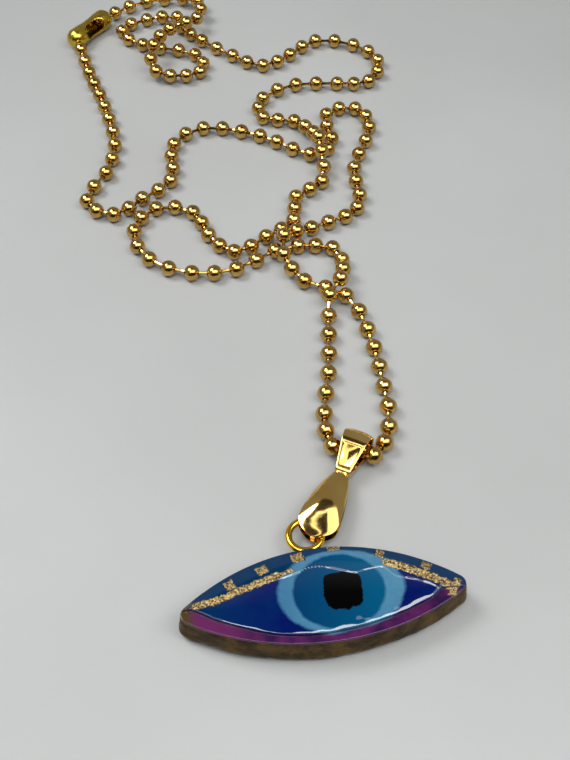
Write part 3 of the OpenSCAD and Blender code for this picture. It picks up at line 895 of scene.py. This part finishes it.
def leaf_top(points):
    """Height of the dome: it falls from the crest to the wall's top as 1 - (x / w)^2.6 does, w
    being the leaf's half width there."""
    along = points[..., 1]
    wall_top = leaf_edge(along)[1]
    crest = np.maximum(smooth_through(crest_u, crest_z, along), wall_top)
    w = np.maximum(np.interp(along, edge_u, edge_half), 1e-6)
    q = np.clip(np.abs(points[..., 0]) / w, 0, 1)
    return wall_top + (crest - wall_top) * (1 - q**DOME_POWER)


def drawn_in(outline, share):
    """The outline drawn in towards the spine by each share of the way."""
    return outline + share[:, None, None] * (leaf_spine - outline)


wall_share = np.array([0.0, 0.3, 0.6, 0.85, 0.96])[:, None]
walls = len(wall_share)
outer = drawn_in(leaf_path, np.concatenate([np.zeros(walls), ALMOST * np.linspace(0, 1, 34)]))
rim_height, wall_top = leaf_edge(outer[..., 1])
z = leaf_top(outer)
z[:walls] = rim_height[:walls] + wall_share * (wall_top - rim_height)[:walls]
inner = drawn_in(inner_path, ALMOST * np.linspace(1, 0, 14))
z_in = np.maximum(leaf_top(inner) - LEAF_WALL, leaf_edge(inner[..., 1])[0])
leaf = np.concatenate([np.concatenate([inner, z_in[..., None]], -1),
                       np.concatenate([outer, z[..., None]], -1)])
print(f"dome {z.max():.2f} mm over the bail's middle")

# %% Pegs, neck and collar
peg_h = np.array([0.075, 0.08, 0.14, 0.35, 0.5])
peg = tube(peg_h[:, None] * UP, [0.1, 0.3, 0.375, 0.375, 0.375], 20, np.array([1.0, 0, 0]))
neck_u = np.array([8.0, 8.05, 8.3, 8.9, 9.0, 9.1, 9.16, 9.2])
neck_x = np.array([0.5, 0.68, 0.76, 0.78, 0.82, 0.86, 0.84, 0.7])
neck_z = np.array([0.3, 0.5, 0.56, 0.58, 0.62, 0.66, 0.64, 0.5])
a = round_angles(32)
square_x, square_z = (np.sign(v) * np.abs(v) ** 0.5 for v in (np.cos(a), np.sin(a)))
neck = np.stack([neck_x[:, None] * square_x, neck_u[:, None] + 0 * a,
                 neck_z[:, None] * square_z], -1)
bail_skins = [seamed(on_bail(leaf)), seamed(on_bail(leaf * MIRROR_Z)), poled(on_bail(peg)),
              poled(on_bail(peg * MIRROR_Z)), poled(on_bail(neck))]
make_piece("teardrop_bail", joined(bail_skins), bail_gold, ["pinch_bail"], crease=38)

# %% [markdown]
# ## The bail's loop
#
# Above the leaves a flared band folds round a ball of the chain: a wedge with a raised border, a
# sunk panel that swells in its middle, and a plain lip where it turns over. It is a belt: a path
# that leaves the narrow end, goes round the nose and comes back, with the band's cross-section
# carried along it.

# %% The belt's path
JOINT_U, JOINT_R, NOSE_U = 9.8, 0.7, 13.4
INNER_R, BAND = 1.45, 0.5
OUTER_R = INNER_R + BAND
LOW_W, HIGH_W = 1.7, 4.0
SUNK, CUSHION, NOSE_BOW = 0.10, 0.10, 0.45
slope = np.arcsin((OUTER_R - JOINT_R) / (NOSE_U - JOINT_U))


def belt_part(middle, radius, angles):
    """Rows (u, z, facing, sunk, cushioned) of a plain round part of the belt's inner line, which
    is middle + (r - band) (cos a, sin a)."""
    r, plain = radius - BAND, 0 * angles
    return np.stack([middle + r * np.cos(angles), r * np.sin(angles), angles, plain, plain], -1)


top = np.pi / 2 + slope
nose = belt_part(NOSE_U, OUTER_R, np.linspace(top, -top, 40))
knuckle = belt_part(JOINT_U, JOINT_R, np.linspace(-top, top - 2 * np.pi, 16))
t = np.concatenate([[0.03, 0.06, 0.08, 0.1, 0.12], np.linspace(0.16, 0.84, 14),
                    [0.9, 0.93, 0.95, 0.97, 0.985]])[:, None]
start = knuckle[-1] + [0, 0, 2 * np.pi, 0, 0]
front = start + t * (nose[0] - start)
front[:, 3] = smooth_step((t[:, 0] - 0.06) / 0.05) * smooth_step((1.0 - t[:, 0]) / 0.04)
front[:, 4] = np.clip(1 - ((t[:, 0] - 0.53) / 0.44) ** 2, 0, 1)
back = nose[-1] + np.linspace(0.1, 0.9, 9)[:, None] * (knuckle[0] - nose[-1])
belt = np.concatenate([front, nose, back, knuckle])
print("belt:", len(belt), "rows")

# %% The belt's cross-section, and the loop
left_border = np.array([(-1, 0.05, 0), (-1, 0.9, 0), (-0.985, 0.98, 0), (-0.96, 1, 0),
                        (-0.86, 1, 0), (-0.84, 1, 0.06), (-0.79, 1, 0.95)])
panel = np.stack([np.linspace(-0.76, 0.76, 15), np.ones(15), np.ones(15)], -1)
under = np.array([(0.95, 0, 0), (0.4, 0, 0), (0, 0, 0), (-0.4, 0, 0), (-0.95, 0, 0)])
section = np.concatenate([left_border, panel, left_border[::-1] * [-1, 1, 1], under])
across, thick, sunk = section.T
low_u, high_u = JOINT_U - JOINT_R, NOSE_U + OUTER_R
row_u, row_z, facing, row_sunk, row_dish = belt.T[..., None]
half_w = (LOW_W + (HIGH_W - LOW_W) * (row_u - low_u) / (high_u - low_u)) / 2
cushion = CUSHION * thick * row_dish * np.clip(1 - (across / 0.77) ** 2, 0, 1)
out = BAND * thick - SUNK * sunk * row_sunk + cushion
bow = NOSE_BOW * (1 - across**2) * np.clip(row_u - NOSE_U, 0, None) / INNER_R
loop_rows = np.stack([across * half_w, row_u + out * np.cos(facing) + bow,
                      row_z + out * np.sin(facing)], -1)
make_piece("flared_loop", looped(on_bail(loop_rows)), bail_gold, ["bail_loop"], crease=32)

# %% [markdown]
# ## The route of the chain
#
# The chain lies as it fell, so its route can't be a formula. It is a list of chosen balls, the
# same one that the solids were drawn from: place in x and y, lift off the table, and the number of
# links to the next one. Between two of them the balls follow a cubic.

# %% Route
BALL_R = 1.2
ROUTE = np.array([
    (-28, 112, 0.6, 3), (-26, 102.5, 0, 3), (-23.5, 93, 0, 3), (-22, 83, 0, 2),
    (-23.5, 76.5, 0, 2), (-26.5, 70.5, 0, 2), (-22.5, 67, 0, 2), (-18, 70, 0, 2),
    (-13.5, 73.5, 0, 3), (-12.5, 82, 0, 2), (-7.5, 85.5, 0, 3), (1.5, 82.5, 0, 3), (9, 77, 0, 1),
    (12, 78, 0, 1), (13, 80.5, 0, 2), (13, 86.5, 0, 2), (18, 87.5, 0, 2), (19.5, 82.5, 0, 3),
    (15.5, 73, 0, 3), (14.5, 64, 0, 3), (7, 60.5, 0, 2), (2.5, 58, 1.5, 1), (2, 54.5, 1.2, 2),
    (4.5, 50, 0, 2), (10, 46.5, 0, 2), (12, 40, 0, 3), (12.5, 30, 0, 2), (12, 23.5, 0, 2),
    (9.2, 19, 0.65, 1), (6.7, 20, 0.8, 1), (4.2, 21, 0.65, 2), (4, 26.5, 0, 2), (5.5, 33, 0, 3),
    (7, 43, 0, 1), (7.5, 46, 1, 1), (9.5, 48.5, 1.5, 2), (10.5, 53.5, 0, 1), (9.5, 56, 0, 2),
    (4.5, 57, 0, 1), (1, 56.5, 0, 2), (-5, 53.5, 0, 2), (-11.5, 53.5, 0, 2), (-17.5, 57, 0, 2),
    (-19.5, 63, 0, 2), (-16, 67.5, 0, 2), (-10.5, 66, 0, 2), (-8.5, 61, 0, 2), (-5, 57, 0, 2),
    (0, 59.5, 0, 2), (4.5, 62.5, 0, 2), (5.5, 67.5, 0, 2), (10, 70.5, 0, 3),
    (10.5, 78.5, 2.2, 1), (10, 81, 1.1, 2), (7.5, 85.5, 0, 2), (2.5, 87, 0, 2), (3, 92, 0, 2),
    (9, 95, 0, 2), (16, 94.5, 0, 2), (21.5, 94.5, 0, 2), (24, 100, 0, 2), (20.5, 105, 0, 2),
    (14, 107, 0, 2), (9, 103.5, 0, 2), (4, 101, 0, 2), (-1, 104.5, 0, 2), (-6, 109.5, 0, 2),
    (-9.5, 114, 0, 1), (-10, 116.5, 0.4, 2), (-15.5, 117, 0, 2), (-20, 114, 0, 2),
    (-16.5, 109.5, 0, 3), (-7.5, 105.5, 0, 2), (-7, 100.5, 0, 3), (-14.5, 100.5, 0.8, 2),
    (-14.5, 105.5, 2.5, 2), (-11.5, 110, 2.4, 1), (-8.5, 111.5, 2.5, 1), (-6.5, 114, 1.6, 2),
    (-6, 120.5, 0.8, 2), (-12, 123, 0, 2), (-18.5, 121.5, 0, 2), (-23.5, 117, 0.6, 1)])
BAIL_ROW, SEAT_BACK = 29, 0.4
seat = PEG_AT[:2] + (NOSE_U - SEAT_BACK) * np.array([np.sin(LEAN), np.cos(LEAN)])

knots = ROUTE[:, :3] + [*(seat - ROUTE[BAIL_ROW, :2]), BALL_R]
padded = np.vstack([knots[:1], knots, knots[-1:]])
heading = unit(padded[2:] - padded[:-2])
links = ROUTE[:-1, 3].astype(int)
row = np.repeat(np.arange(len(links)), links)
step = np.arange(len(row)) - np.repeat(np.cumsum(links) - links, links)
t = (step / links[row])[:, None]
p, q = knots[row], knots[row + 1]
reach = np.linalg.norm(q - p, axis=1, keepdims=True)
balls = np.vstack([cubic(t, reach, p, q, heading[row], heading[row + 1]), knots[-1:]])
balls[:, 2] = np.maximum(balls[:, 2], BALL_R)
low, high = np.array(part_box("chain_balls")) / MM
off = max(np.abs(balls.min(axis=0) - BALL_R - low).max(),
          np.abs(balls.max(axis=0) + BALL_R - high).max())
print(f"{len(balls)} balls, {off:.3f} mm off the solids' box")

# %% [markdown]
# ## The balls
#
# Each ball is a thin stamped sphere, with a dimple at either end where its link goes in. A Sphere
# object copied along a curve would leave the dimples pointing anywhere. So one profile is turned
# round the chain's direction, and its ends lean towards the two neighbours where the chain bends.
# With 166 balls, each has as few faces as a round outline allows.

# %% Frames along the chain
gap = np.diff(balls, axis=0)
before = unit(np.vstack([gap[:1], gap]))
after = unit(np.vstack([gap, gap[-1:]]))
along = unit(before + after)
bend = np.arccos(np.clip((along * after).sum(-1), -1, 1))
side = unit(np.cross(UP, along))
over = np.cross(along, side)
inner = after - before + 1e-4 * side
inner = unit(inner - (inner * along).sum(-1, keepdims=True) * along)
print(f"sharpest bend at a ball: {np.degrees(2 * bend.max()):.0f} degrees")

# %% Balls
profile_a = np.radians([20, 24, 40, 62, 84, 96, 118, 140, 156, 160])
profile_r = np.array([0.86, 1.15, 1.194, 1.194, 1.194, 1.194, 1.194, 1.194, 1.15, 0.86])
spin = round_angles(14)
axial = (profile_r * np.cos(profile_a))[:, None] + 0 * spin
wide = (profile_r * np.sin(profile_a))[:, None]
template = np.stack([axial, wide * np.cos(spin), wide * np.sin(spin)], -1)


def per_ball(values):
    """One value or direction for each ball or link, shaped to meet all points of its template."""
    return values[:, None, None]


def leaned(template, centres):
    """The template at every ball. A point (a, x, y) is laid along the chain, sideways and upwards,
    and then turned towards the inside of the bend by bend * a / r."""
    a, x, y = template[..., 0], template[..., 1], template[..., 2]
    forth, inside = per_ball(along), per_ball(inner)
    v = a[..., None] * forth + x[..., None] * per_ball(side) + y[..., None] * per_ball(over)
    turn = (per_ball(bend) * np.clip(a / BALL_R, -1, 1))[..., None]
    forth_part = (v * forth).sum(-1, keepdims=True)
    inside_part = (v * inside).sum(-1, keepdims=True)
    rest = v - forth_part * forth - inside_part * inside
    return (per_ball(centres) + rest
            + (forth_part * np.cos(turn) - inside_part * np.sin(turn)) * forth
            + (forth_part * np.sin(turn) + inside_part * np.cos(turn)) * inside)


ball_skin = poled_each(leaned(template, balls))
print("faces in a ball:", (len(ball_skin[1]) + len(ball_skin[2])) // len(balls))
make_piece("chain_balls_gold", ball_skin, chain_gold, ["chain_balls"], crease=50)

# %% [markdown]
# ## The links
#
# Between two balls shows a short bright wire. Its ends are headed inside the balls, so only a slim
# waist is seen. Each is a small spool: eight points round, its radius least half way.

# %% Links
a, b = balls[:-1], balls[1:]
run = unit(b - a)
sideways = unit(np.cross(UP, run))
upright = np.cross(run, sideways)
length = np.linalg.norm(b - a, axis=1)
share = np.array([0.0, 0.16, 0.38, 0.62, 0.84, 1.0])
spool_r = np.array([0.3, 0.29, 0.235, 0.235, 0.29, 0.3])[:, None, None]
HIDDEN = 0.82
turn = round_angles(8)[:, None]
at = HIDDEN + share * (length[:, None] - 2 * HIDDEN)
spool = (per_ball(a) + at[..., None, None] * per_ball(run)
         + spool_r * (np.cos(turn) * per_ball(sideways) + np.sin(turn) * per_ball(upright)))
bare = length - 2 * BALL_R
print(f"bare wire between balls: {bare.min():.2f} to {bare.max():.2f} mm")
make_piece("chain_links_gold", poled_each(spool), chain_gold, ["chain_wire"])

# %% [markdown]
# ## The clasp
#
# A folded brass connector holds the chain's two end balls, and its open side lets them in. It
# could be cut from a capsule with a Boolean, but a grid with the window's faces left out gives a
# clean edge. Solidify then gives the sheet its thickness, inwards.

# %% Clasp
CLASP_R, CLASP_WALL = 1.74, 0.35
MOUTH, WAIST = 0.24, 0.16
WINDOW_AT, WINDOW_TURN, WINDOW_HALF = -66, 52, 2.2
near, far = balls[0], balls[-1]
span = np.linalg.norm(far - near)
axis = (far - near) / span
flank = unit(np.cross(UP, axis))
crest = np.cross(axis, flank)
u = np.concatenate([-CLASP_R * np.cos(np.linspace(MOUTH, np.pi / 2, 12)),
                    np.linspace(0, span, 29)[1:-1],
                    span + CLASP_R * np.sin(np.linspace(0, np.pi / 2 - MOUTH, 12))])
beyond = np.clip(np.maximum(-u, u - span), 0, None)
waist = WAIST * np.sin(np.pi * np.clip(u / span, 0, 1)) ** 2
clasp_r = np.sqrt(np.maximum(CLASP_R**2 - beyond**2, 0)) - waist
angle = round_angles(48)
round_ring = np.cos(angle)[:, None] * crest + np.sin(angle)[:, None] * flank
clasp_rows = near + u[:, None, None] * axis + clasp_r[:, None, None] * round_ring
clasp_points, clasp_quads, clasp_ends = poled(clasp_rows)
print(f"clasp spans {span:.2f} mm from ball to ball")

# %% The clasp's window
mid_u = (u[:-1] + u[1:]) / 2
mid_a = np.degrees(angle + angle[1] / 2)
toward = (mid_a - WINDOW_AT + 180) % 360 - 180
reach = WINDOW_HALF * np.sqrt(np.clip(1 - (toward / WINDOW_TURN) ** 4, 0, 1))
window = (np.abs(mid_u - span / 2)[:, None] < reach) & (np.abs(toward) < WINDOW_TURN - 2)
clasp_skin = (clasp_points, clasp_quads[~window.ravel()], clasp_ends)
clasp = make_piece("clasp_connector", clasp_skin, clasp_brass, ["clasp"], crease=50)
wall = clasp.modifiers.new("sheet", "SOLIDIFY")
wall.thickness = CLASP_WALL * MM
wall.offset = -1
